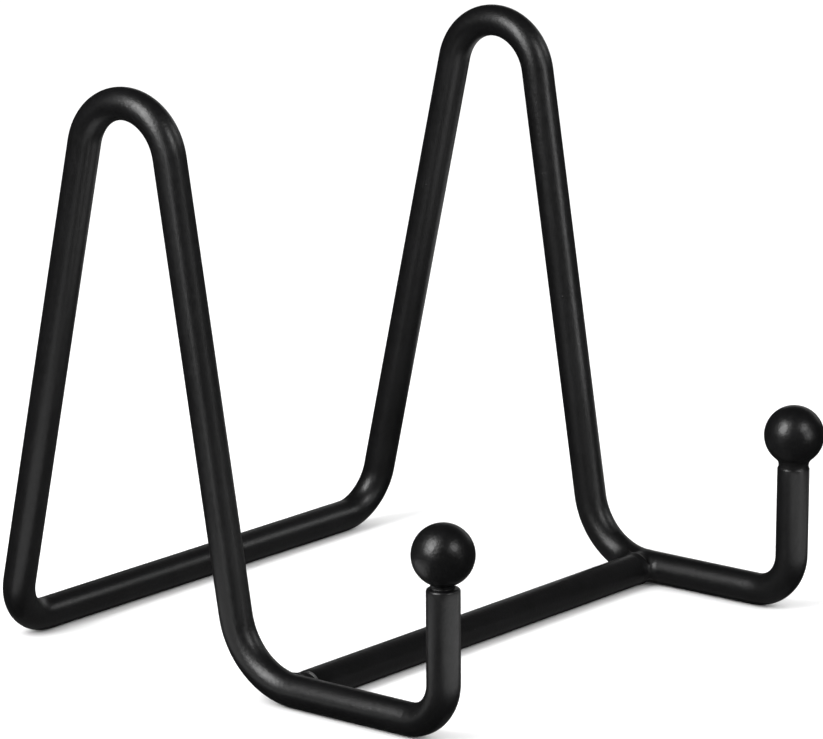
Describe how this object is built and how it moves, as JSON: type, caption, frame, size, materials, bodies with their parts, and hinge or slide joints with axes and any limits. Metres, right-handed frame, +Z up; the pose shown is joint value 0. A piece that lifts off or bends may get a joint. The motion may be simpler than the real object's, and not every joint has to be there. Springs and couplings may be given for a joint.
{
  "type": "tabletop display stand",
  "caption": "Bent steel rod stand that holds an album, plate or frame upright on two arms between ball-tipped lips and leaning legs.",
  "frame": {"origin": "on the table, at the middle of the stand's footprint box", "axes": "+X across the stand to the right ball, +Y from the ball lips to the rear bar, +Z up"},
  "size_m": [0.1, 0.0944, 0.0922],
  "materials": {
    "coated_rod": "black powder coat, satin",
    "coated_ball": "black powder coat, satin",
    "coated_weld": "black powder coat over weld metal, satin"
  },
  "bodies": {
    "root": {"bent_frame": "coated_rod", "front_crossbar": "coated_rod", "ball_left": "coated_ball", "ball_right": "coated_ball", "crossbar_weld_left": "coated_weld", "crossbar_weld_right": "coated_weld", "ball_weld_left": "coated_weld", "ball_weld_right": "coated_weld"}
  },
  "joints": []
}
